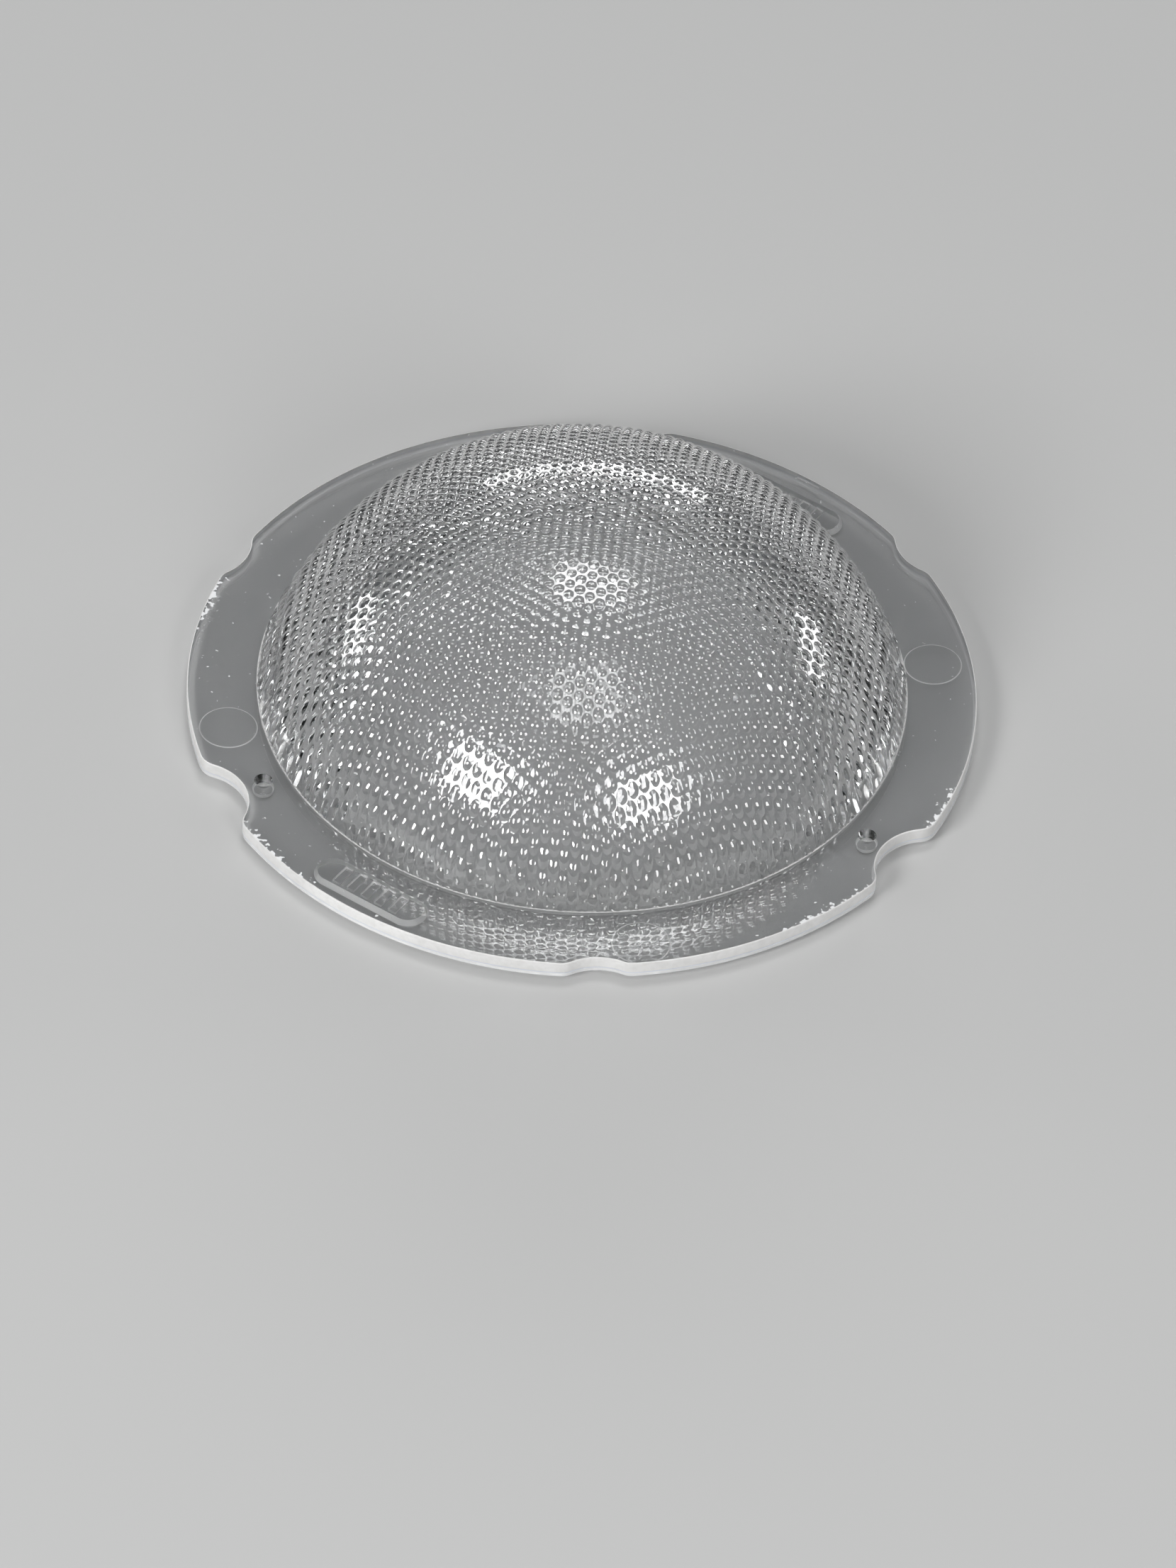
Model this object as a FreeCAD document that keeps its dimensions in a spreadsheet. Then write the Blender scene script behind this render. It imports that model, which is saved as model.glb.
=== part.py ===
import FreeCAD, Part
import Sketcher
import math
import os

# One-piece moulded spreading lens: a thin disc flange with a hollow dome of small lenses in its middle.
# Millimetres, +Z up. The origin is on the axis, in the plane that the three feet stand on.
# Angles are counted from +X towards +Y, seen from above.

doc = FreeCAD.newDocument("SpreadingLens")
sheet = doc.addObject("Spreadsheet::Sheet", "Sizes")

SIZES = {
    # flange
    "flange_diameter": 75.0,
    "flange_thickness": 1.8,
    "lower_edge_bevel": 0.4,
    # dome
    "dome_base_diameter": 61.8,
    "dome_height": 22.6,
    "plinth_height": 0.35,
    "dome_wall": 2.2,
    # small lenses all over the dome, evenly spaced as seen from above
    "lenslet_pitch": 1.8,
    "lenslet_height": 0.2,
    "plinth_ledge": 0.1,
    # rim notches, all cut by the same round cutter
    "notch_cutter_radius": 5.2,
    "notch_corner_radius": 2.0,
    "deep_notch_depth": 2.5,
    "deep_notch_angle": 90.0,
    "shallow_notch_depth": 0.95,
    "shallow_notch_angle": 37.8,
    # feet under the flange, each half-way from the dome to a deep notch, with a blind dimple over it
    "foot_height": 0.5,
    "foot_diameter": 2.0,
    "foot_draft": 8.0,
    "dimple_mouth_diameter": 1.75,
    "dimple_floor_diameter": 1.3,
    "dimple_depth": 0.9,
    # marks of the ejector pins and long recesses with ribs, on a circle just inside the flange's middle
    "mark_ring_inset": 0.3,
    "ejector_diameter": 5.6,
    "ejector_mark_depth": 0.06,
    "ejector_angle": 15.0,
    "recess_angle": 60.0,
    "recess_length": 12.3,
    "recess_width": 3.8,
    "recess_depth": 0.95,
    "recess_draft": 20.0,
    "rib_height": 0.35,
    "rib_width": 0.9,
    "rib_length": 2.3,
    "rib_pitch": 1.6,
    # stub of the moulding gate on the rim
    "gate_angle": 60.0,
    "gate_width": 2.6,
    "gate_stand_out": 0.22,
    "gate_root_depth": 1.0,
    "gate_height": 1.0,
}
NOTCH_COUNT = 3
EJECTOR_COUNT = 4
RECESS_COUNT = 2
RIB_COUNT = 5

for row, (alias, size) in enumerate(SIZES.items(), start=1):
    sheet.set("A%d" % row, alias.replace("_", " "))
    sheet.set("B%d" % row, str(size))
    sheet.setAlias("B%d" % row, alias)
doc.recompute()

body = doc.addObject("PartDesign::Body", "Lens")
body.Label = "spreading_lens"

V = FreeCAD.Vector
UP = V(0, 0, 1)
TOUCH = 1e-4
# Sketcher's names for points of an element, and for the origin and the two axes.
START, END, CENTRE = range(1, 4)
ORIGIN, X_AXIS, Y_AXIS = -1, -1, -2
# Distances from the axis, out to the middle of the flange and to the feet.
FLANGE_MIDDLE = "(Sizes.dome_base_diameter + Sizes.flange_diameter) / 4"
MARK_REACH = FLANGE_MIDDLE + " - Sizes.mark_ring_inset"
FOOT_REACH = FLANGE_MIDDLE + " - Sizes.deep_notch_depth / 2"


def value(alias):
    return float(sheet.get(alias))


def origin_plane(role):
    return next(o for o in body.Origin.OriginFeatures if o.Role == role)


def new_sketch(name, role="XY_Plane", height=None, angle=None):
    # A sketch on one of the body's own planes, raised and turned by expressions on the sheet.
    sketch = body.newObject("Sketcher::SketchObject", name)
    sketch.AttachmentSupport = (origin_plane(role), [""])
    sketch.MapMode = "FlatFace"
    if height:
        sketch.setExpression("AttachmentOffset.Base.z", height)
    if angle:
        sketch.setExpression("AttachmentOffset.Rotation.Angle", angle)
    return sketch


def constrain(sketch, name, expression, kind, *refs):
    # A named dimension that follows an expression on the sheet.
    index = sketch.addConstraint(Sketcher.Constraint(kind, *refs))
    sketch.renameConstraint(index, name)
    sketch.setExpression("Constraints." + name, expression)


def tie(sketch, kind, *refs):
    sketch.addConstraint(Sketcher.Constraint(kind, *refs))


def volume_step(feature, grows):
    # Recomputes, and makes sure that the feature adds or removes material as it should.
    before = feature.BaseFeature.Shape.Volume if feature.BaseFeature else 0.0
    doc.recompute()
    change = feature.Shape.Volume - before
    if (change > 0) != grows:
        raise RuntimeError("%s changed the volume by %.4f" % (feature.Name, change))


def extrude(name, kind, sketch, length, grows, **settings):
    feature = body.newObject(kind, name)
    feature.Profile = sketch
    for setting, choice in settings.items():
        setattr(feature, setting, choice)
    if length:
        feature.setExpression("Length", length)
    volume_step(feature, grows)
    return feature


def around_axis(name, features, sketch, count):
    # Repeats features evenly about the lens's axis, which is the sketch's own normal through the origin.
    pattern = body.newObject("PartDesign::PolarPattern", name)
    pattern.Originals = features
    pattern.Axis = (sketch, ["N_Axis"])
    pattern.Angle = 360
    pattern.Occurrences = count
    body.Tip = pattern
    doc.recompute()


def dress(name, kind, setting, size, wanted):
    # Rounds or bevels each edge of the body that the test accepts.
    base = body.Tip
    edges = ["Edge%d" % i for i, e in enumerate(base.Shape.Edges, start=1) if wanted(e)]
    feature = body.newObject(kind, name)
    feature.Base = (base, edges)
    feature.setExpression(setting, size)
    doc.recompute()


def fillet(name, radius, wanted):
    dress(name, "PartDesign::Fillet", "Radius", radius, wanted)


def chamfer(name, size, wanted):
    dress(name, "PartDesign::Chamfer", "Size", size, wanted)


def mid_point(edge):
    return edge.valueAt((edge.FirstParameter + edge.LastParameter) / 2)


def radius_at(point):
    return math.hypot(point.x, point.y)


def is_level(edge, height):
    return edge.BoundBox.ZLength < TOUCH and abs(mid_point(edge).z - height) < TOUCH


def circle_sketch(name, reach, diameter, angle, height=None):
    # A circle at a distance from the axis, on a spoke at the given angle.
    sketch = new_sketch(name, height=height, angle=angle)
    circle = sketch.addGeometry(Part.Circle(V(1, 0, 0), UP, 1), False)
    tie(sketch, "PointOnObject", circle, CENTRE, X_AXIS)
    constrain(sketch, "Reach", reach, "DistanceX", ORIGIN, START, circle, CENTRE, 1)
    constrain(sketch, "Diameter", diameter, "Diameter", circle, 2)
    return sketch


def slot_sketch(name, reach, length, width, angle, height):
    # A round-ended slot that lies square to its spoke.
    sketch = new_sketch(name, height=height, angle=angle)
    centre, along = V(1, 0, 0), V(0, 1, 0)
    far = Part.ArcOfCircle(Part.Circle(centre + along, UP, 1), 0, math.pi)
    near = Part.ArcOfCircle(Part.Circle(centre - along, UP, 1), math.pi, 2 * math.pi)
    sketch.addGeometry([
        far,
        Part.LineSegment(far.EndPoint, near.StartPoint),
        near,
        Part.LineSegment(near.EndPoint, far.StartPoint),
    ], False)
    far_arc, side, near_arc, other_side = range(4)
    for this, after in ((far_arc, side), (side, near_arc), (near_arc, other_side), (other_side, far_arc)):
        tie(sketch, "Tangent", this, END, after, START)
    tie(sketch, "Equal", far_arc, near_arc)
    tie(sketch, "Symmetric", far_arc, CENTRE, near_arc, CENTRE, X_AXIS)
    constrain(sketch, "Reach", reach, "DistanceX", ORIGIN, START, far_arc, CENTRE, centre.x)
    constrain(sketch, "Radius", width + " / 2", "Radius", far_arc, 1)
    constrain(sketch, "Span", length + " - " + width, "DistanceY", near_arc, CENTRE, far_arc, CENTRE, 2)
    return sketch


def bar_sketch(name, inner, outer, width, angle, height, sideways="0"):
    # A rectangle along its spoke, between two distances from the axis, moved sideways off the spoke.
    sketch = new_sketch(name, height=height, angle=angle)
    corners = [V(1, -1, 0), V(2, -1, 0), V(2, 1, 0), V(1, 1, 0)]
    lines = [Part.LineSegment(corners[i - 1], corners[i]) for i in range(4)]
    inner_end, right, outer_end, left = sketch.addGeometry(lines, False)
    for this, after in ((inner_end, right), (right, outer_end), (outer_end, left), (left, inner_end)):
        tie(sketch, "Coincident", this, END, after, START)
    for line in (right, left):
        tie(sketch, "Horizontal", line)
    for line in (inner_end, outer_end):
        tie(sketch, "Vertical", line)
    constrain(sketch, "Inner", inner, "DistanceX", ORIGIN, START, right, START, corners[0].x)
    constrain(sketch, "Outer", outer, "DistanceX", ORIGIN, START, right, END, corners[1].x)
    constrain(sketch, "Width", width, "DistanceY", outer_end, START, outer_end, END, 2)
    side = "%s - %s / 2" % (sideways, width)
    constrain(sketch, "Side", side, "DistanceY", ORIGIN, START, right, START, corners[0].y)
    return sketch


# The ball that the small lenses stand on: it meets the plinth's top just inside the plinth's edge.
rim_r = value("flange_diameter") / 2
base_r = value("dome_base_diameter") / 2
under_z = value("foot_height")
top_z = under_z + value("flange_thickness")
plinth_z = top_z + value("plinth_height")
peak_z = top_z + value("dome_height")
ball_base_r = base_r - value("lenslet_height") - value("plinth_ledge")
ball_peak_z = peak_z - value("lenslet_height")
ball_rise = ball_peak_z - plinth_z
ball_r = (ball_base_r ** 2 + ball_rise ** 2) / (2 * ball_rise)
ball_z = ball_peak_z - ball_r

# The flange's section, with the dome's plinth, turned about the axis.
section = new_sketch("FlangeSection", "XZ_Plane")
corners = [
    V(0, under_z, 0), V(rim_r, under_z, 0), V(rim_r, top_z, 0),
    V(base_r, top_z, 0), V(base_r, plinth_z, 0), V(0, plinth_z, 0),
]
UNDER, RIM, TOP, PLINTH, PLINTH_TOP, AXIS = range(6)
section.addGeometry([Part.LineSegment(corners[i], corners[(i + 1) % 6]) for i in range(6)], False)
for line in range(6):
    tie(section, "Coincident", line, END, (line + 1) % 6, START)
for line in (UNDER, TOP, PLINTH_TOP):
    tie(section, "Horizontal", line)
for line in (RIM, PLINTH):
    tie(section, "Vertical", line)
tie(section, "PointOnObject", AXIS, START, Y_AXIS)
tie(section, "PointOnObject", AXIS, END, Y_AXIS)
for name, expression, kind, refs in (
    ("RimRadius", "Sizes.flange_diameter / 2", "DistanceX", (ORIGIN, START, RIM, START, rim_r)),
    ("Clearance", "Sizes.foot_height", "DistanceY", (ORIGIN, START, RIM, START, under_z)),
    ("Thickness", "Sizes.flange_thickness", "DistanceY", (RIM, START, RIM, END, top_z - under_z)),
    ("BaseRadius", "Sizes.dome_base_diameter / 2", "DistanceX", (ORIGIN, START, PLINTH, START, base_r)),
    ("PlinthHeight", "Sizes.plinth_height", "DistanceY", (PLINTH, START, PLINTH, END, plinth_z - top_z)),
):
    constrain(section, name, expression, kind, *refs)

flange = body.newObject("PartDesign::Revolution", "FlangeAndPlinth")
flange.Profile = section
flange.ReferenceAxis = (section, ["V_Axis"])
flange.Angle = 360
volume_step(flange, grows=True)

for name, depth, angle in (
    ("DeepNotch", "Sizes.deep_notch_depth", "Sizes.deep_notch_angle"),
    ("ShallowNotch", "Sizes.shallow_notch_depth", "Sizes.shallow_notch_angle"),
):
    reach = "Sizes.flange_diameter / 2 - %s + Sizes.notch_cutter_radius" % depth
    cutter = circle_sketch(name + "Cutter", reach, "2 * Sizes.notch_cutter_radius", angle)
    notch = extrude(name, "PartDesign::Pocket", cutter, None, grows=False, Type="ThroughAll", Midplane=True)
    around_axis(name + "Ring", [notch], cutter, NOTCH_COUNT)


def is_notch_corner(edge):
    upright = edge.BoundBox.DiagonalLength < edge.BoundBox.ZLength + TOUCH
    full = abs(edge.BoundBox.ZLength - value("flange_thickness")) < TOUCH
    return upright and full and abs(radius_at(mid_point(edge)) - rim_r) < TOUCH


def is_outline_edge(edge, height):
    return is_level(edge, height) and radius_at(mid_point(edge)) > base_r + TOUCH


fillet("NotchCorners", "Sizes.notch_corner_radius", is_notch_corner)
chamfer("LowerEdge", "Sizes.lower_edge_bevel", lambda edge: is_outline_edge(edge, under_z))

# The stub that is left of the moulding gate, half-way up the rim.
gate_outline = bar_sketch(
    "GateOutline",
    "Sizes.flange_diameter / 2 - Sizes.gate_root_depth",
    "Sizes.flange_diameter / 2 + Sizes.gate_stand_out",
    "Sizes.gate_width",
    "Sizes.gate_angle",
    "Sizes.foot_height + (Sizes.flange_thickness - Sizes.gate_height) / 2",
)
extrude("GateStub", "PartDesign::Pad", gate_outline, "Sizes.gate_height", grows=True)

# Feet that hold the underside clear of the seat, each with a blind tapered dimple over it.
foot_circle = circle_sketch("FootCircle", FOOT_REACH, "Sizes.foot_diameter", "Sizes.deep_notch_angle")
foot = extrude("Foot", "PartDesign::Pad", foot_circle, "Sizes.foot_height", grows=True)
foot.setExpression("TaperAngle", "Sizes.foot_draft")
around_axis("Feet", [foot], foot_circle, NOTCH_COUNT)

dimple = body.newObject("PartDesign::SubtractiveCone", "Dimple")
dimple.AttachmentSupport = (foot_circle, [""])
dimple.MapMode = "ObjectXY"
dimple_floor = "Sizes.foot_height + Sizes.flange_thickness - Sizes.dimple_depth"
for setting, expression in (
    ("AttachmentOffset.Base.x", FOOT_REACH),
    ("AttachmentOffset.Base.z", dimple_floor),
    ("Radius1", "Sizes.dimple_floor_diameter / 2"),
    ("Radius2", "Sizes.dimple_mouth_diameter / 2"),
    ("Height", "Sizes.dimple_depth"),
):
    dimple.setExpression(setting, expression)
volume_step(dimple, grows=False)
around_axis("Dimples", [dimple], foot_circle, NOTCH_COUNT)

# Shallow round marks of the ejector pins in the underside.
mark_circle = circle_sketch(
    "EjectorCircle", MARK_REACH, "Sizes.ejector_diameter", "Sizes.ejector_angle", "Sizes.foot_height"
)
mark = extrude(
    "EjectorMark", "PartDesign::Pocket", mark_circle, "Sizes.ejector_mark_depth", grows=False, Reversed=True
)
around_axis("EjectorMarks", [mark], mark_circle, EJECTOR_COUNT)

# Long recesses that narrow upwards into the underside. Plain ribs hang from their ceilings.
recess_slot = slot_sketch(
    "RecessSlot",
    MARK_REACH,
    "Sizes.recess_length",
    "Sizes.recess_width",
    "Sizes.recess_angle",
    "Sizes.foot_height",
)
recess = extrude(
    "Recess", "PartDesign::Pocket", recess_slot, "Sizes.recess_depth", grows=False, Reversed=True
)
recess.setExpression("TaperAngle", "-Sizes.recess_draft")
around_axis("Recesses", [recess], recess_slot, RECESS_COUNT)

for number in range(RIB_COUNT):
    rib_outline = bar_sketch(
        "RibOutline%d" % (number + 1),
        MARK_REACH + " - Sizes.rib_length / 2",
        MARK_REACH + " + Sizes.rib_length / 2",
        "Sizes.rib_width",
        "Sizes.recess_angle",
        "Sizes.foot_height + Sizes.recess_depth",
        "Sizes.rib_pitch * %g" % (number - (RIB_COUNT - 1) / 2),
    )
    rib = extrude(
        "Rib%d" % (number + 1), "PartDesign::Pad", rib_outline, "Sizes.rib_height", grows=True, Reversed=True
    )
    around_axis("Ribs%d" % (number + 1), [rib], rib_outline, RECESS_COUNT)

# The dome: the cap of a ball, covered with small lenses on a hexagonal grid. Each is a low pyramid with
# four sides, wider than the moulded ones, so that the model stays light.


def on_ball(spot, height):
    # The point that stands this high on the ball, over a spot in the plan.
    reach = min(spot.Length / ball_r, 1)
    turn = math.atan2(spot.y, spot.x)
    way = V(reach * math.cos(turn), reach * math.sin(turn), math.sqrt(1 - reach ** 2))
    return V(0, 0, ball_z) + way * (ball_r + height)


def lenslet_cells():
    # The middle and the four corners, in the plan, of each cell that reaches over the cap.
    pitch = value("lenslet_pitch")
    along, across = V(0, pitch, 0), V(pitch * math.sqrt(3) / 2, pitch / 2, 0)
    most = math.ceil(2 * base_r / pitch)
    for i in range(-most, most + 1):
        for j in range(-most, most + 1):
            middle = along * i + across * j
            corners = [middle + (along * p + across * q) / 2 for p, q in ((-1, -1), (-1, 1), (1, 1), (1, -1))]
            if min(corner.Length for corner in corners) < base_r:
                yield middle, corners


def lenslet_skin():
    # All the pyramids' sides, joined at their shared corners.
    corner_points = {}
    tops, facets = [], []
    cells = list(lenslet_cells())
    for middle, corners in cells:
        for corner in corners:
            corner_points.setdefault((round(corner.x, 3), round(corner.y, 3)), on_ball(corner, 0))
    number = {key: i for i, key in enumerate(corner_points)}
    for middle, corners in cells:
        ring = [number[round(corner.x, 3), round(corner.y, 3)] for corner in corners]
        top = len(number) + len(tops)
        tops.append(on_ball(middle, value("lenslet_height")))
        facets += [(ring[i - 1], ring[i], top) for i in range(4)]
    skin = Part.Shape()
    skin.makeShapeFromMesh((list(corner_points.values()) + tops, facets), TOUCH / 10)
    return skin


def lenslet_cap():
    # What lies under the skin in a round block that stands at the level of the plinth's top.
    block = Part.makeCylinder(rim_r, value("dome_height"), V(0, 0, plinth_z))
    pieces = block.generalFuse([lenslet_skin()])[0].Solids
    inside = V(0, 0, (plinth_z + ball_peak_z) / 2)
    return next(piece for piece in pieces if piece.isInside(inside, TOUCH, False))


cap = doc.addObject("Part::Feature", "LensletCap")
cap.Shape = lenslet_cap()
dome = body.newObject("PartDesign::Boolean", "Dome")
dome.Type = "Fuse"
dome.Refine = False
dome.setObjects([cap])
volume_step(dome, grows=True)

# The hollow, whose wall is even, as measured from the ball.
hollow_section = new_sketch("HollowSection", "XZ_Plane")
inner_r = ball_r - value("dome_wall")
mouth_r = math.sqrt(inner_r ** 2 - ball_z ** 2)
middle = V(0, ball_z, 0)
FLOOR, INNER, UPRIGHT, BALL = range(4)
hollow_section.addGeometry([
    Part.LineSegment(V(0, 0, 0), V(mouth_r, 0, 0)),
    Part.ArcOfCircle(Part.Circle(middle, UP, inner_r), math.atan2(-ball_z, mouth_r), math.pi / 2),
    Part.LineSegment(V(0, ball_z + inner_r, 0), V(0, 0, 0)),
], False)
hollow_section.addGeometry([
    Part.ArcOfCircle(Part.Circle(middle, UP, ball_r), math.atan2(plinth_z - ball_z, ball_base_r), math.pi / 2),
], True)
for first, first_end, second, second_end in (
    (FLOOR, END, INNER, START),
    (INNER, END, UPRIGHT, START),
    (UPRIGHT, END, FLOOR, START),
    (FLOOR, START, ORIGIN, START),
    (BALL, CENTRE, INNER, CENTRE),
):
    tie(hollow_section, "Coincident", first, first_end, second, second_end)
tie(hollow_section, "Horizontal", FLOOR)
tie(hollow_section, "Vertical", UPRIGHT)
tie(hollow_section, "PointOnObject", BALL, CENTRE, Y_AXIS)
tie(hollow_section, "PointOnObject", BALL, END, Y_AXIS)
for name, expression, kind, refs in (
    ("BallBase", "Sizes.dome_base_diameter / 2 - Sizes.lenslet_height - Sizes.plinth_ledge", "DistanceX",
     (ORIGIN, START, BALL, START, ball_base_r)),
    ("BallFoot", "Sizes.foot_height + Sizes.flange_thickness + Sizes.plinth_height", "DistanceY",
     (ORIGIN, START, BALL, START, plinth_z)),
    ("BallPeak", "Sizes.dome_height - Sizes.plinth_height - Sizes.lenslet_height", "DistanceY",
     (BALL, START, BALL, END, ball_rise)),
    ("Wall", "Sizes.dome_wall", "DistanceY", (INNER, END, BALL, END, ball_r - inner_r)),
):
    constrain(hollow_section, name, expression, kind, *refs)
hollow = body.newObject("PartDesign::Groove", "Hollow")
hollow.Profile = hollow_section
hollow.ReferenceAxis = (hollow_section, ["V_Axis"])
hollow.Angle = 360
hollow.Refine = False
volume_step(hollow, grows=False)

problems = [o.Name for o in doc.Objects if "Invalid" in o.State or "Error" in o.State]
if problems or body.Shape.isNull() or not body.Shape.isValid():
    raise RuntimeError("the model has failed features: %s" % ", ".join(problems))
if len(body.Shape.Solids) != 1:
    raise RuntimeError("the lens is not one solid")

os.makedirs("parts", exist_ok=True)
body.Shape.exportStep(os.path.join("parts", body.Label + ".step"))
print("%s: %.1f mm3, %d faces" % (body.Label, body.Shape.Volume, len(body.Shape.Faces)))
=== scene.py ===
import math
import random

import bmesh
import bpy
from mathutils import Matrix, Vector


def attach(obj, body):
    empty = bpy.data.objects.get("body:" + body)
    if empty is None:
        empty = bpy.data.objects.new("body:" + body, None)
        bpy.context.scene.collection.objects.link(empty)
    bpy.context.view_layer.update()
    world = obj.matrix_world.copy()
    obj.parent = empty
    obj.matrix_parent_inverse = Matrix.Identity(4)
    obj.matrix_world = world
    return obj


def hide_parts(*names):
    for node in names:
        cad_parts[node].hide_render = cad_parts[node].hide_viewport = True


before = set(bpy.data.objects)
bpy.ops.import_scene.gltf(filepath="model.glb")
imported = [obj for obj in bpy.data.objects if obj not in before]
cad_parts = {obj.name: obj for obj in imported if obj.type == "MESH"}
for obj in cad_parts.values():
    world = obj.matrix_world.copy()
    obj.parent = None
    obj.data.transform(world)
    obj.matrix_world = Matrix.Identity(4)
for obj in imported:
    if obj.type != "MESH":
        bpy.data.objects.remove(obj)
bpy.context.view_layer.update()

# One clear moulded lens: a notched flange round a hollow dome of small lenses, closed to a single skin.
# Metres, +Z up, in the frame of the CAD part. Angles are degrees from +X towards +Y, seen from above.


hair = 1e-6                   # points closer than this are in the same place
slack = 1e-5


def restAll():
    if bpy.context.mode != "OBJECT":
        bpy.ops.object.mode_set(mode="OBJECT")
    bpy.ops.object.select_all(action="DESELECT")


def makeActive(piece):
    restAll()
    piece.select_set(True)
    bpy.context.view_layer.objects.active = piece


def added(name):
    # names what an operator has just made
    piece = bpy.context.object
    piece.name = name
    piece.data.name = name
    return piece


def settle(piece):
    makeActive(piece)
    bpy.ops.object.transform_apply(location=True, rotation=True, scale=True)


def pick(piece, kind, test):
    # opens the piece in edit mode with only the wanted verts, edges or faces selected
    makeActive(piece)
    bpy.ops.object.mode_set(mode="EDIT")
    bpy.ops.mesh.select_mode(type={"verts": "VERT", "edges": "EDGE", "faces": "FACE"}[kind])
    bpy.ops.mesh.select_all(action="DESELECT")
    mesh = bmesh.from_edit_mesh(piece.data)
    for element in getattr(mesh, kind):
        if test(element):
            element.select_set(True)
    mesh.select_flush_mode()
    bmesh.update_edit_mesh(piece.data)


def done():
    bpy.ops.object.mode_set(mode="OBJECT")


def middle(element):
    return sum((v.co for v in element.verts), Vector()) / len(element.verts)


def flatRadius(place):
    return math.hypot(place.x, place.y)


def spoke(distance, angle, height):
    turn = math.radians(angle)
    return Vector((distance * math.cos(turn), distance * math.sin(turn), height))


def joined(pieces, name):
    restAll()
    for piece in pieces:
        piece.select_set(True)
    bpy.context.view_layer.objects.active = pieces[0]
    bpy.ops.object.join()
    return added(name)


def combine(piece, tool, operation):
    makeActive(piece)
    step = piece.modifiers.new(operation, "BOOLEAN")
    step.operation = operation
    step.solver = "EXACT"
    step.object = tool
    bpy.ops.object.modifier_apply(modifier=step.name)
    bpy.data.objects.remove(tool)


dome = dict(
    base=0.0309,
    ledge=0.00015,            # left plain between the lenslets and the plinth's edge
    plinth=0.00265,
    peak=0.0249,
    wall=0.0022,
    sides=160,
    insideRings=52,
)

lenslet = dict(
    pitch=0.001126,           # between neighbours, seen from above
    radius=0.00051,
    height=0.00025,
    unevenRadius=0.12,
    unevenHeight=0.3,
    drift=0.00002,
    shoulder=0.6,             # a ring of points at this share of the radius
    shoulderRise=0.69,        # and at this share of the height
    seed=7,
)

flange = dict(
    radius=0.0375,
    bottom=0.0005,
    top=0.0023,
    points=1280,
    cutter=0.0052,            # radius of every notch
    corner=0.002,             # rounding where a notch meets the rim
    deepNotch=0.0025,
    shallowNotch=0.00095,
    deepAngles=(90, 210, 330),
    shallowAngles=(37.8, 157.8, 277.8),
    topRound=0.00012,
    bottomRound=0.0003,
)


def ball():
    # radius and centre height of the ball that the lenslets stand on
    reach = dome["base"] - dome["ledge"]
    rise = dome["peak"] - lenslet["height"] - dome["plinth"]
    radius = (reach ** 2 + rise ** 2) / (2 * rise)
    return radius, dome["plinth"] + rise - radius


def mouthRadius():
    # of the hollow, where it meets the flange's underside
    radius, centre = ball()
    return math.sqrt((radius - dome["wall"]) ** 2 - (flange["bottom"] - centre) ** 2)


def notchShape(depth):
    # distance of the cutter's centre, and the two angles between which the corner's arc runs
    f = flange
    reach = f["radius"] - depth + f["cutter"]
    arm = f["radius"] - f["corner"]
    span = f["cutter"] + f["corner"]
    rimTurn = math.acos((reach ** 2 + arm ** 2 - span ** 2) / (2 * reach * arm))
    share = f["cutter"] / span
    x = reach + (arm * math.cos(rimTurn) - reach) * share
    y = arm * math.sin(rimTurn) * share
    return reach, arm, math.atan2(y, x), rimTurn


def rimRadius(angle):
    # the notched outline, as a distance from the axis at each angle
    f = flange
    for angles, depth in ((f["deepAngles"], f["deepNotch"]), (f["shallowAngles"], f["shallowNotch"])):
        reach, arm, cutTurn, rimTurn = notchShape(depth)
        for centre in angles:
            off = abs((angle - math.radians(centre) + math.pi) % (2 * math.pi) - math.pi)
            if off < cutTurn:
                return reach * math.cos(off) - math.sqrt(f["cutter"] ** 2 - (reach * math.sin(off)) ** 2)
            if off < rimTurn:
                back = rimTurn - off
                return arm * math.cos(back) + math.sqrt(f["corner"] ** 2 - (arm * math.sin(back)) ** 2)
    return f["radius"]


def openFlatFace(disc, height, reach):
    # draws the middle of a flat face in to a many-sided hole of that radius, and takes it out
    step = 2 * math.pi / dome["sides"]
    pick(disc, "faces", lambda face: len(face.verts) > 4 and abs(middle(face).z - height) < hair)
    bpy.ops.mesh.extrude_region()
    mesh = bmesh.from_edit_mesh(disc.data)
    for vert in (v for v in mesh.verts if v.select):
        turn = step * round(math.atan2(vert.co.y, vert.co.x) / step)
        vert.co.x, vert.co.y = reach * math.cos(turn), reach * math.sin(turn)
    bmesh.update_edit_mesh(disc.data)
    bpy.ops.mesh.delete(type="FACE")
    done()


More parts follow.
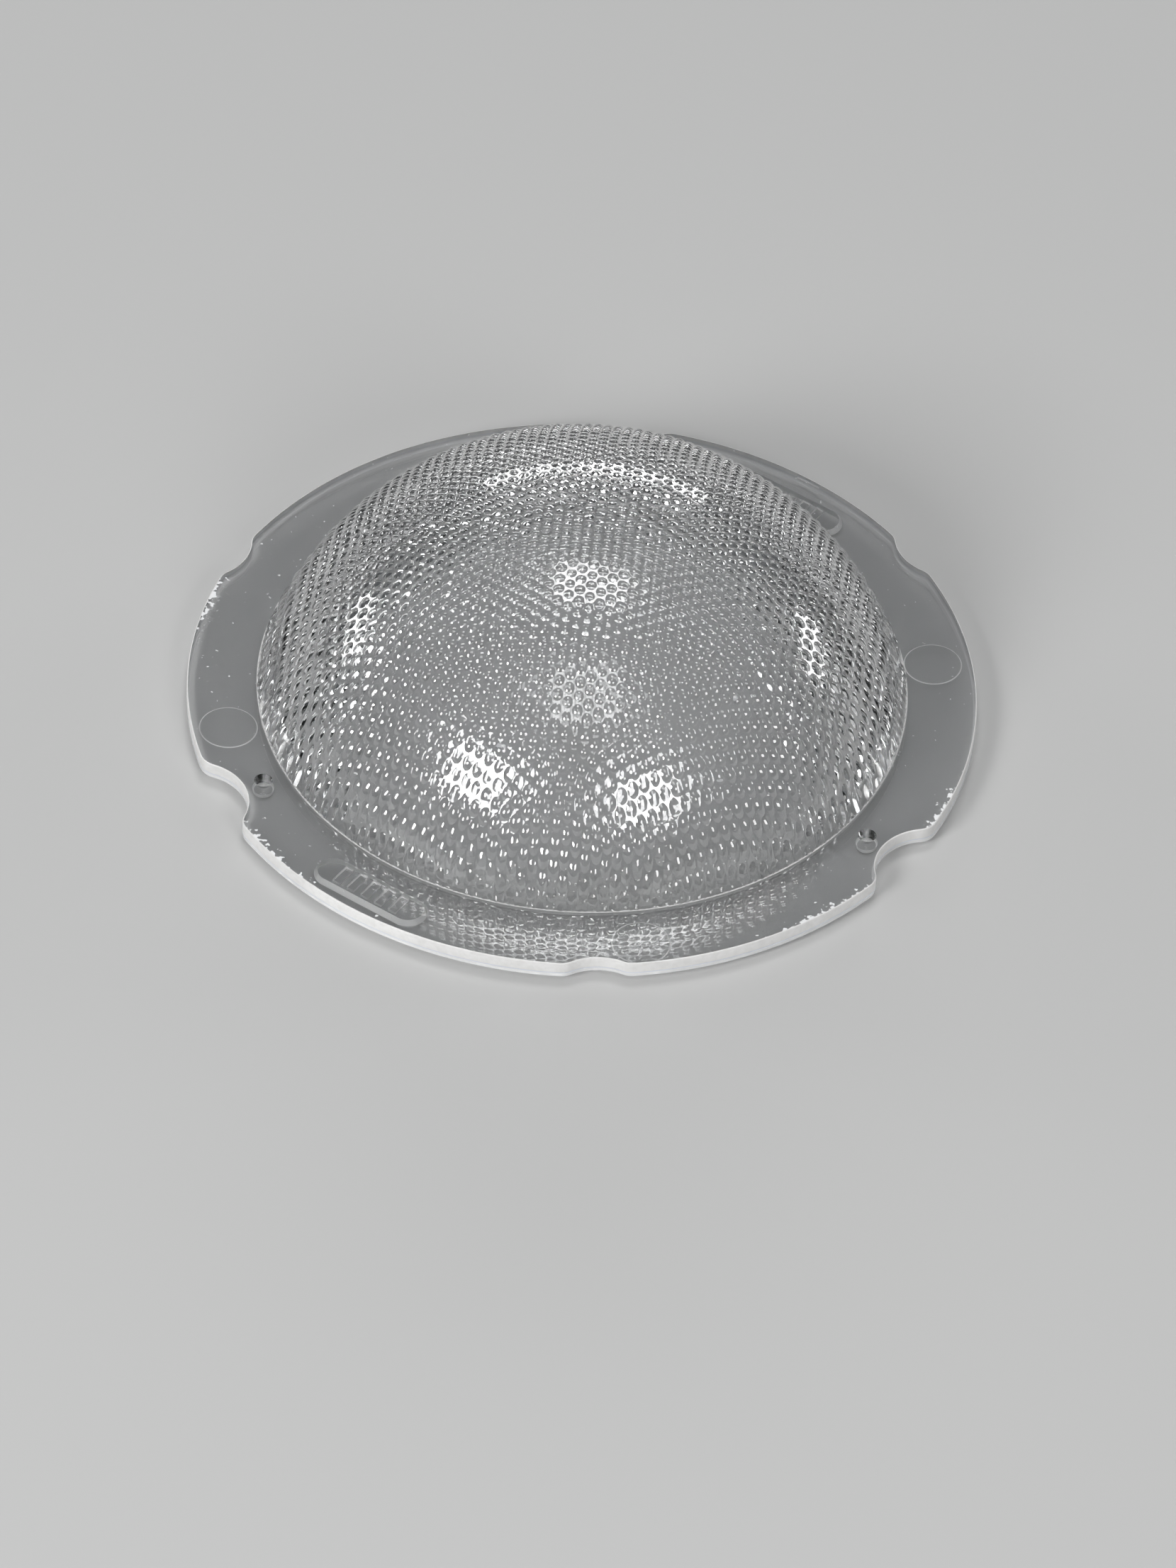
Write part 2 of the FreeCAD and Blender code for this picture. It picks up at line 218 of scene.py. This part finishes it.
def makeFlange():
    f = flange
    bpy.ops.mesh.primitive_cylinder_add(
        vertices=f["points"], radius=f["radius"], depth=f["top"] - f["bottom"],
        location=(0, 0, (f["top"] + f["bottom"]) / 2), end_fill_type="NGON")
    disc = added("flangeDisc")
    settle(disc)
    for vert in disc.data.vertices:
        turn = math.atan2(vert.co.y, vert.co.x)
        reach = rimRadius(turn)
        vert.co.x, vert.co.y = reach * math.cos(turn), reach * math.sin(turn)
    for height, size, steps in ((f["top"], f["topRound"], 3), (f["bottom"], f["bottomRound"], 6)):
        pick(disc, "edges", lambda e: all(abs(v.co.z - height) < hair for v in e.verts))
        bpy.ops.mesh.bevel(offset=size, segments=steps, affect="EDGES", clamp_overlap=False)
        done()
    openFlatFace(disc, f["top"], dome["base"])
    openFlatFace(disc, f["bottom"], mouthRadius())
    pick(disc, "verts", lambda v: flatRadius(v.co) < dome["base"] + hair)
    bpy.ops.mesh.remove_doubles(threshold=hair)
    done()
    pick(disc, "edges", lambda e: e.is_boundary)
    bpy.ops.mesh.bridge_edge_loops()
    bpy.ops.mesh.select_all(action="SELECT")
    bpy.ops.mesh.normals_make_consistent(inside=False)
    done()
    return disc


gate = dict(angle=60, standOut=0.00022, root=0.0006, width=0.0026, height=0.001, edge=0.00008)


def makeGate():
    # the stub that is left of the moulding gate
    depth = gate["standOut"] + gate["root"]
    reach = flange["radius"] + gate["standOut"] - depth / 2
    place = spoke(reach, gate["angle"], (flange["top"] + flange["bottom"]) / 2)
    bpy.ops.mesh.primitive_cube_add(size=1, location=place, rotation=(0, 0, math.radians(gate["angle"])))
    stub = added("gateStub")
    stub.scale = (depth, gate["width"], gate["height"])
    settle(stub)
    pick(stub, "edges", lambda e: True)
    bpy.ops.mesh.bevel(offset=gate["edge"], segments=2, affect="EDGES")
    done()
    return stub


foot = dict(
    ring=0.03295, angles=(90, 210, 330), radius=0.001, root=0.00107, sink=0.0003, edge=0.00012, points=40)


def makeFoot(angle):
    height = flange["bottom"] + foot["sink"]
    bpy.ops.mesh.primitive_cone_add(
        vertices=foot["points"], radius1=foot["radius"], radius2=foot["root"], depth=height,
        location=spoke(foot["ring"], angle, height / 2))
    post = added("foot")
    settle(post)
    pick(post, "edges", lambda e: all(v.co.z < hair for v in e.verts))
    bpy.ops.mesh.bevel(offset=foot["edge"], segments=3, affect="EDGES")
    done()
    return post


dimple = dict(mouth=0.000875, floor=0.00065, depth=0.0009, over=0.0002, points=40)


def makeDimple(angle):
    slope = (dimple["mouth"] - dimple["floor"]) / dimple["depth"]
    height = dimple["depth"] + dimple["over"]
    low = flange["top"] - dimple["depth"]
    bpy.ops.mesh.primitive_cone_add(
        vertices=dimple["points"], radius1=dimple["floor"], radius2=dimple["floor"] + slope * height,
        depth=height, location=spoke(foot["ring"], angle, low + height / 2))
    return added("dimpleTool")


ejector = dict(ring=0.0339, angles=(15, 105, 195, 285), radius=0.0028, depth=0.00006, slope=2.2, points=96)


def makeEjectorMark(angle):
    run = ejector["slope"] * ejector["depth"]
    bpy.ops.mesh.primitive_cone_add(
        vertices=ejector["points"], radius1=ejector["radius"] + run, radius2=ejector["radius"] - run,
        depth=2 * ejector["depth"], location=spoke(ejector["ring"], angle, flange["bottom"]))
    return added("ejectorTool")


recess = dict(
    ring=0.0339, angles=(60, 240), length=0.0123, width=0.0038, depth=0.00095, draft=20, over=0.0002,
    points=48)


def makeRecess(angle):
    # a tapered round whose two halves are drawn apart to a long one
    run = math.tan(math.radians(recess["draft"]))
    height = recess["depth"] + recess["over"]
    bpy.ops.mesh.primitive_cone_add(
        vertices=recess["points"], radius1=recess["width"] / 2 + recess["over"] * run,
        radius2=recess["width"] / 2 - recess["depth"] * run, depth=height,
        location=(0, 0, flange["bottom"] - recess["over"] + height / 2))
    tool = added("recessTool")
    settle(tool)
    half = (recess["length"] - recess["width"]) / 2
    for side in (1, -1):
        pick(tool, "verts", lambda v: v.co.y * side > hair)
        bpy.ops.transform.translate(value=(0, half * side, 0))
        done()
    tool.rotation_euler.z = math.radians(angle)
    tool.location = spoke(recess["ring"], angle, 0)
    settle(tool)
    return tool


rib = dict(count=5, pitch=0.0016, width=0.0009, length=0.0023, height=0.00035, root=0.0002, edge=0.0001)


def makeRib(angle, number):
    low = flange["bottom"] + recess["depth"] - rib["height"]
    height = rib["height"] + rib["root"]
    side = (number - (rib["count"] - 1) / 2) * rib["pitch"]
    place = spoke(recess["ring"], angle, low + height / 2) + spoke(side, angle + 90, 0)
    bpy.ops.mesh.primitive_cube_add(size=1, location=place, rotation=(0, 0, math.radians(angle)))
    bar = added("rib")
    bar.scale = (rib["length"], rib["width"], height)
    settle(bar)

    def hangsFree(edge):
        heights = [v.co.z for v in edge.verts]
        return max(heights) < low + hair or abs(heights[0] - heights[1]) > 1e-4

    pick(bar, "edges", hangsFree)
    bpy.ops.mesh.bevel(offset=rib["edge"], segments=2, affect="EDGES")
    done()
    return bar


def trimSheet(sheet, radius):
    # cuts the flat sheet to the many-sided outline of the dome's foot, one side after another
    reach = radius * math.cos(math.pi / dome["sides"])
    border = [f for f in sheet.faces if max(flatRadius(v.co) for v in f.verts) > reach - hair]
    for side in range(dome["sides"]):
        turn = 2 * math.pi * (side + 0.5) / dome["sides"]
        way = Vector((math.cos(turn), math.sin(turn), 0))
        near = [f for f in border if f.is_valid and max(v.co.dot(way) for v in f.verts) > reach - 1e-7]
        parts = set(near)
        for face in near:
            parts.update(face.edges)
            parts.update(face.verts)
        cut = bmesh.ops.bisect_plane(
            sheet, geom=list(parts), dist=1e-7, plane_co=way * reach, plane_no=way, clear_outer=True)
        kept = [f for f in border if f.is_valid]
        border = list(set(kept + [f for f in cut["geom"] if isinstance(f, bmesh.types.BMFace)]))


def ringOfPoints(centre, radius, count, height, vertAt):
    turns = [2 * math.pi * i / count for i in range(count)]
    return [vertAt(centre.x + radius * math.cos(t), centre.y + radius * math.sin(t), height) for t in turns]


def addLenslet(sheet, vertAt, cell):
    # a round lens on its flat hexagon, whose foot keeps a crisp edge
    d = lenslet
    size = d["radius"] * (1 + random.uniform(-1, 1) * d["unevenRadius"])
    size = min(size, d["pitch"] / 2 - d["drift"] * 1.5)
    height = d["height"] * (1 - random.random() * d["unevenHeight"]) * size / d["radius"]
    height = min(height, d["height"])
    centre = cell + Vector((random.uniform(-1, 1), random.uniform(-1, 1), 0)) * d["drift"]
    border = ringOfPoints(cell, d["pitch"] / math.sqrt(3), 6, 0, vertAt)
    outer = ringOfPoints(centre, size, 12, 0, vertAt)
    inner = ringOfPoints(centre, size * d["shoulder"], 6, height * d["shoulderRise"], vertAt)
    top = vertAt(centre.x, centre.y, height)
    for i in range(6):
        j = (i + 1) % 6
        a, b, c = outer[2 * i], outer[2 * i + 1], outer[(2 * i + 2) % 12]
        flat = ((border[i], b, a), (border[i], border[j], b), (border[j], c, b))
        raised = ((a, b, inner[i]), (b, inner[j], inner[i]), (b, c, inner[j]), (inner[i], inner[j], top))
        for corners in flat + raised:
            sheet.faces.new(corners)
        for ends in ((a, b), (b, c)):
            sheet.edges.get(ends).smooth = False


def makeLensletSheet():
    # a flat sheet of lenslets, cut round and then laid over the ball
    sheet = bmesh.new()
    made = {}

    def vertAt(x, y, height):
        key = (round(x * 1e7), round(y * 1e7))
        for near in ((key[0] + dx, key[1] + dy) for dx in (-1, 0, 1) for dy in (-1, 0, 1)):
            if near in made:
                return made[near]
        made[key] = sheet.verts.new((x, y, height))
        return made[key]

    random.seed(lenslet["seed"])
    pitch = lenslet["pitch"]
    radius = dome["base"] - dome["ledge"]
    rows = int(radius / (pitch * math.sqrt(3) / 2)) + 2
    for row in range(-rows, rows + 1):
        for column in range(-rows, rows + 1):
            cell = Vector((row * pitch * math.sqrt(3) / 2, (column + 0.5 * (row % 2)) * pitch, 0))
            if cell.length < radius + pitch * 0.52:
                addLenslet(sheet, vertAt, cell)
    trimSheet(sheet, radius)
    ballRadius, ballCentre = ball()
    for vert in sheet.verts:
        lift = 0 if vert.is_boundary else vert.co.z
        reach = flatRadius(vert.co)
        out = Vector((vert.co.x, vert.co.y, math.sqrt(ballRadius ** 2 - reach ** 2))).normalized()
        vert.co = Vector((0, 0, ballCentre)) + out * (ballRadius + lift)
    mesh = bpy.data.meshes.new("lensletSheet")
    sheet.to_mesh(mesh)
    sheet.free()
    piece = bpy.data.objects.new("lensletSheet", mesh)
    bpy.context.scene.collection.objects.link(piece)
    return piece


def makeInside():
    # the smooth hollow, open where it meets the flange's underside
    radius, centre = ball()
    bpy.ops.mesh.primitive_uv_sphere_add(
        segments=dome["sides"], ring_count=dome["insideRings"], radius=radius - dome["wall"],
        location=(0, 0, centre))
    inside = added("domeInside")
    settle(inside)
    pick(inside, "verts", lambda v: True)
    bpy.ops.mesh.bisect(plane_co=(0, 0, flange["bottom"]), plane_no=(0, 0, 1), clear_inner=True)
    done()
    return inside


def makeFlangeWithMarks():
    disc = makeFlange()
    print("flange outline", len(disc.data.polygons))
    extras = [makeGate()] + [makeFoot(angle) for angle in foot["angles"]]
    combine(disc, joined(extras, "flangeExtras"), "UNION")
    cuts = [makeDimple(angle) for angle in foot["angles"]]
    cuts += [makeEjectorMark(angle) for angle in ejector["angles"]]
    cuts += [makeRecess(angle) for angle in recess["angles"]]
    for tool in cuts:
        settle(tool)
    combine(disc, joined(cuts, "flangeCuts"), "DIFFERENCE")
    bars = [makeRib(angle, number) for angle in recess["angles"] for number in range(rib["count"])]
    combine(disc, joined(bars, "recessRibs"), "UNION")

    def isInnerWall(face):
        return abs(face.normal.z) < 0.99 and flatRadius(middle(face)) < dome["base"] + slack

    pick(disc, "faces", isInnerWall)
    bpy.ops.mesh.delete(type="FACE")
    done()
    pick(disc, "edges", lambda e: e.is_boundary and middle(e).z > flange["top"] - slack)
    bpy.ops.mesh.extrude_edges_move(TRANSFORM_OT_translate={"value": (0, 0, dome["plinth"] - flange["top"])})
    done()
    print("flange with marks", len(disc.data.polygons))
    return disc


def makeLens():
    disc = makeFlangeWithMarks()
    sheet = makeLensletSheet()
    print("lenslets", len(sheet.data.polygons))
    lens = joined([disc, sheet, makeInside()], "spreadingLens")
    pick(lens, "verts", lambda v: v.is_boundary and v.co.z < flange["bottom"] + slack)
    bpy.ops.mesh.remove_doubles(threshold=5e-5)
    done()
    pick(lens, "edges", lambda e: e.is_boundary)
    bpy.ops.mesh.bridge_edge_loops()
    done()

    def bordersFlatFace(edge):
        tilts = [abs(face.normal.z) > 0.9999 for face in edge.link_faces]
        return any(tilts) and not all(tilts)

    pick(lens, "edges", bordersFlatFace)
    bpy.ops.mesh.mark_sharp()
    done()
    pick(lens, "faces", lambda face: True)
    bpy.ops.mesh.quads_convert_to_tris()
    bpy.ops.mesh.normals_make_consistent(inside=False)
    done()
    makeActive(lens)
    bpy.ops.object.shade_smooth_by_angle(angle=math.radians(40))
    print("lens closed", len(lens.data.polygons))
    return lens


lens = makeLens()
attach(lens, "root")
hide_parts("spreading_lens")


acrylicIndex = 1.49


def newMaterial(name):
    material = bpy.data.materials.new(name)
    material.use_nodes = True
    return material, material.node_tree.nodes, material.node_tree.links


def addNoise(nodes, links, place, scale, detail):
    noise = nodes.new("ShaderNodeTexNoise")
    noise.inputs["Scale"].default_value = scale
    noise.inputs["Detail"].default_value = detail
    links.new(place, noise.inputs["Vector"])
    return noise.outputs["Fac"]


def addRange(nodes, links, source, low, high, least, most):
    # carries low to least and high to most, and stays between them
    step = nodes.new("ShaderNodeMapRange")
    for name, number in (("From Min", low), ("From Max", high), ("To Min", least), ("To Max", most)):
        step.inputs[name].default_value = number
    links.new(source, step.inputs["Value"])
    return step.outputs["Result"]


def addMath(nodes, links, operation, first, second):
    step = nodes.new("ShaderNodeMath")
    step.operation = operation
    for socket, source in zip(step.inputs, (first, second)):
        if isinstance(source, (int, float)):
            socket.default_value = source
        else:
            links.new(source, socket)
    return step.outputs[0]


def addBump(nodes, links, height, strength, distance, shader):
    bump = nodes.new("ShaderNodeBump")
    bump.inputs["Strength"].default_value = strength
    bump.inputs["Distance"].default_value = distance
    links.new(height, bump.inputs["Height"])
    links.new(bump.outputs["Normal"], shader.inputs["Normal"])


clear = dict(
    colour=(0.955, 0.96, 0.965, 1),
    roughness=0.02,
    gloss=1.7,                # refractive index of the polished skin, for brighter reflections
    chipFrom=0.0363,          # fine chips lie between here and the rim
    chipRoughness=0.5,
    chipped=((168, 6), (226, 7), (314, 8), (341, 7)),   # middle and half width of each chipped stretch
    chipFade=1.6,             # chipping ends this many half widths from the middle of a stretch
    chipWeight=0.27,          # what is added to the grain at the rim
    chipLevels=(0.71, 0.74),  # between these the grain turns to a chip
    grainScale=2000,
)


def markChips(piece):
    # gives every point its share of chipping, by its angle round the rim
    share = piece.data.attributes.new("chipping", "FLOAT", "POINT")
    for vert in piece.data.vertices:
        turn = math.degrees(math.atan2(vert.co.y, vert.co.x))
        near = min(abs((turn - angle + 180) % 360 - 180) / half for angle, half in clear["chipped"])
        share.data[vert.index].value = max(0, min(1, clear["chipFade"] - near))


def clearFinish():
    material, nodes, links = newMaterial("clearAcrylic")
    shader = nodes["Principled BSDF"]
    shader.inputs["Base Color"].default_value = clear["colour"]
    shader.inputs["IOR"].default_value = acrylicIndex
    shader.inputs["Coat Weight"].default_value = 1
    shader.inputs["Coat IOR"].default_value = clear["gloss"]
    shader.inputs["Coat Roughness"].default_value = clear["roughness"]
    place = nodes.new("ShaderNodeTexCoord").outputs["Object"]
    flat = nodes.new("ShaderNodeVectorMath")
    flat.operation = "MULTIPLY"
    flat.inputs[1].default_value = (1, 1, 0)
    links.new(place, flat.inputs[0])
    reach = nodes.new("ShaderNodeVectorMath")
    reach.operation = "LENGTH"
    links.new(flat.outputs[0], reach.inputs[0])
    nearRim = addRange(
        nodes, links, reach.outputs["Value"], clear["chipFrom"], flange["radius"], 0, clear["chipWeight"])
    share = nodes.new("ShaderNodeAttribute")
    share.attribute_name = "chipping"
    grain = addNoise(nodes, links, place, clear["grainScale"], 3)
    chance = addMath(nodes, links, "MULTIPLY", nearRim, share.outputs["Fac"])
    chips = addRange(nodes, links, addMath(nodes, links, "ADD", grain, chance), *clear["chipLevels"], 0, 1)
    roughness = addRange(nodes, links, chips, 0, 1, clear["roughness"], clear["chipRoughness"])
    links.new(roughness, shader.inputs["Roughness"])
    links.new(addRange(nodes, links, chips, 0, 1, 1, 0), shader.inputs["Transmission Weight"])
    return material


satin = dict(
    dark=(0.90, 0.895, 0.88, 1),
    light=(0.97, 0.965, 0.955, 1),
    cool=(0.68, 0.74, 0.88, 1),
    # the rim's lower band is painted lighter than the mottle: a painted highlight, not a different colour of
    # the plastic
    paintedLightLower=(0.97, 0.975, 0.98, 1),
    seam=0.00112,             # a faint cool line along the rim, over its smoother lower part, whose evenly lighter colour is painted light
    seamWidth=0.00009,
    seamStrength=0.8,
    transmission=0.3,
    roughness=(0.25, 0.42),   # below and above the seam
    mottleScale=1400,
    mottleLevels=(0.38, 0.62),
    grainScale=9000,
    grainHeight=0.00002,
    grainStrength=0.3,
    reach=0.0004,             # how far in from the outline the walls are still rim
)


def satinFinish():
    material, nodes, links = newMaterial("satinEdge")
    shader = nodes["Principled BSDF"]
    shader.inputs["IOR"].default_value = acrylicIndex
    shader.inputs["Transmission Weight"].default_value = satin["transmission"]
    place = nodes.new("ShaderNodeTexCoord").outputs["Object"]
    mottle = addNoise(nodes, links, place, satin["mottleScale"], 4)
    grain = addNoise(nodes, links, place, satin["grainScale"], 2)
    height = nodes.new("ShaderNodeSeparateXYZ")
    links.new(place, height.inputs[0])
    level = height.outputs["Z"]
    off = addMath(nodes, links, "ABSOLUTE", addMath(nodes, links, "SUBTRACT", level, satin["seam"]), 0)
    upper = addRange(nodes, links, level, satin["seam"] - satin["seamWidth"], satin["seam"], 0, 1)
    patches = addRange(nodes, links, mottle, *satin["mottleLevels"], 0, 1)
    seam = addRange(nodes, links, off, 0, satin["seamWidth"], satin["seamStrength"], 0)
    # mottle first, then the lower part's even lighter colour, which is painted light, then the line between
    # them
    last = None
    for factor, under, over in ((patches, "dark", "light"), (upper, "paintedLightLower", None), (seam, None, "cool")):
        tint = nodes.new("ShaderNodeMix")
        tint.data_type = "RGBA"
        links.new(factor, tint.inputs["Factor"])
        for side, name in (("A", under), ("B", over)):
            if name:
                tint.inputs[side].default_value = satin[name]
            else:
                links.new(last, tint.inputs[side])
        last = tint.outputs["Result"]
    links.new(last, shader.inputs["Base Color"])
    links.new(addRange(nodes, links, upper, 0, 1, *satin["roughness"]), shader.inputs["Roughness"])
    addBump(nodes, links, grain, satin["grainStrength"], satin["grainHeight"], shader)
    return material


frost = dict(colour=(0.98, 0.98, 0.97, 1), roughness=0.3, dimpleMargin=1.1)


def frostFinish():
    material, nodes, links = newMaterial("frostedMarks")
    shader = nodes["Principled BSDF"]
    shader.inputs["Base Color"].default_value = frost["colour"]
    shader.inputs["IOR"].default_value = acrylicIndex
    shader.inputs["Roughness"].default_value = frost["roughness"]
    return material


def finishOf(face):
    # satin on the rim, in the notches and round the dome's foot, frosted walls on the marks,
    # recesses and feet, and clear elsewhere
    place = face.center
    reach = flatRadius(place)
    if reach > dome["base"] - dome["ledge"] and abs(place.z - dome["plinth"]) < slack:
        return 1
    if reach < dome["base"] + 1e-4 or abs(face.normal.z) > 0.999:
        return 0
    if reach > rimRadius(math.atan2(place.y, place.x)) - satin["reach"]:
        return 1
    dimples = [spoke(foot["ring"], angle, place.z) for angle in foot["angles"]]
    inDimple = min((place - centre).length for centre in dimples) < dimple["mouth"] * frost["dimpleMargin"]
    return 0 if inDimple and place.z > flange["bottom"] + 1e-4 else 2


lens.data.materials.clear()
for material in (clearFinish(), satinFinish(), frostFinish()):
    lens.data.materials.append(material)
for face in lens.data.polygons:
    face.material_index = finishOf(face)
markChips(lens)
print("finishes set")


floorPaint = dict(size=3, drop=0.00003, colour=(0.54, 0.54, 0.535, 1), roughness=0.6)


def makeFloor():
    bpy.ops.mesh.primitive_plane_add(size=floorPaint["size"], location=(0, 0, -floorPaint["drop"]))
    floor = added("floor")
    material, nodes, links = newMaterial("floorPaint")
    nodes["Principled BSDF"].inputs["Base Color"].default_value = floorPaint["colour"]
    nodes["Principled BSDF"].inputs["Roughness"].default_value = floorPaint["roughness"]
    floor.data.materials.append(material)


# direction to each soft box from the lens, its distance, its two sides and its power
softBoxes = dict(
    keyBox=((-0.53, -0.70, 0.50), 1.1, (0.36, 0.32), 7.4),
    fillBox=((0.45, -0.75, 0.50), 1.1, (0.40, 0.30), 3.0),
    frontBox=((0.05, -0.38, 0.92), 1.2, (0.50, 0.40), 1.8),
    topBox=((0.0, 0.30, 0.95), 1.1, (0.40, 0.30), 2.2),
    backBox=((-0.05, 0.96, 0.27), 1.3, (0.9, 0.16), 2.6),
    leftBox=((-0.90, 0.40, 0.25), 1.2, (0.35, 0.16), 1.4),
    rightBox=((0.84, 0.50, 0.25), 1.2, (0.35, 0.16), 1.4),
)


def makeSoftBox(name, way, distance, sides, power):
    data = bpy.data.lights.new(name, "AREA")
    data.shape = "RECTANGLE"
    data.size, data.size_y = sides
    data.energy = power
    lamp = bpy.data.objects.new(name, data)
    lamp.location = Vector(way).normalized() * distance
    lamp.rotation_euler = (-lamp.location).to_track_quat("-Z", "Y").to_euler()
    bpy.context.scene.collection.objects.link(lamp)


# darker at the level of the lens than overhead, so that its edges stand out
sky = dict(low=(0.05, 0.052, 0.055, 1), lowTo=0.1, high=(0.20, 0.205, 0.21, 1), highFrom=0.75)


def makeWorld():
    world = bpy.data.worlds.new("studio")
    world.use_nodes = True
    nodes, links = world.node_tree.nodes, world.node_tree.links
    way = nodes.new("ShaderNodeSeparateXYZ")
    links.new(nodes.new("ShaderNodeTexCoord").outputs["Generated"], way.inputs[0])
    ramp = nodes.new("ShaderNodeValToRGB")
    ramp.color_ramp.elements[0].position = sky["lowTo"]
    ramp.color_ramp.elements[0].color = sky["low"]
    ramp.color_ramp.elements[1].position = sky["highFrom"]
    ramp.color_ramp.elements[1].color = sky["high"]
    links.new(way.outputs["Z"], ramp.inputs["Fac"])
    links.new(ramp.outputs["Color"], nodes["Background"].inputs["Color"])
    bpy.context.scene.world = world


view = dict(
    elevation=43.554,
    azimuth=3.8,
    roll=2.607,
    distance=1.34623,
    shiftRight=0.000969,
    shiftUp=-0.007702,
    baseHeight=0.0005,
    lens=36 * 20000 / 1659,   # millimetres, on a sensor 36 mm wide
)


def makeCamera():
    tilt, turn, roll = (math.radians(view[name]) for name in ("elevation", "azimuth", "roll"))
    right = Vector((math.cos(turn), math.sin(turn), 0))
    back = Vector((math.sin(turn), -math.cos(turn), 0)) * math.cos(tilt) + Vector((0, 0, math.sin(tilt)))
    up = back.cross(right)
    turnedRight = right * math.cos(roll) + up * math.sin(roll)
    turnedUp = up * math.cos(roll) - right * math.sin(roll)
    place = right * view["shiftRight"] + up * view["shiftUp"] + back * view["distance"]
    place.z += view["baseHeight"]
    data = bpy.data.cameras.new("camera")
    data.sensor_fit = "HORIZONTAL"
    data.sensor_width = 36
    data.lens = view["lens"]
    data.clip_end = 20
    camera = bpy.data.objects.new("camera", data)
    bpy.context.scene.collection.objects.link(camera)
    camera.matrix_world = Matrix((
        (turnedRight.x, turnedUp.x, back.x, place.x),
        (turnedRight.y, turnedUp.y, back.y, place.y),
        (turnedRight.z, turnedUp.z, back.z, place.z),
        (0, 0, 0, 1)))
    bpy.context.scene.camera = camera


makeFloor()
for name, settings in softBoxes.items():
    makeSoftBox(name, *settings)
makeWorld()
makeCamera()
bpy.context.scene.view_settings.view_transform = "Standard"
print("stage set")
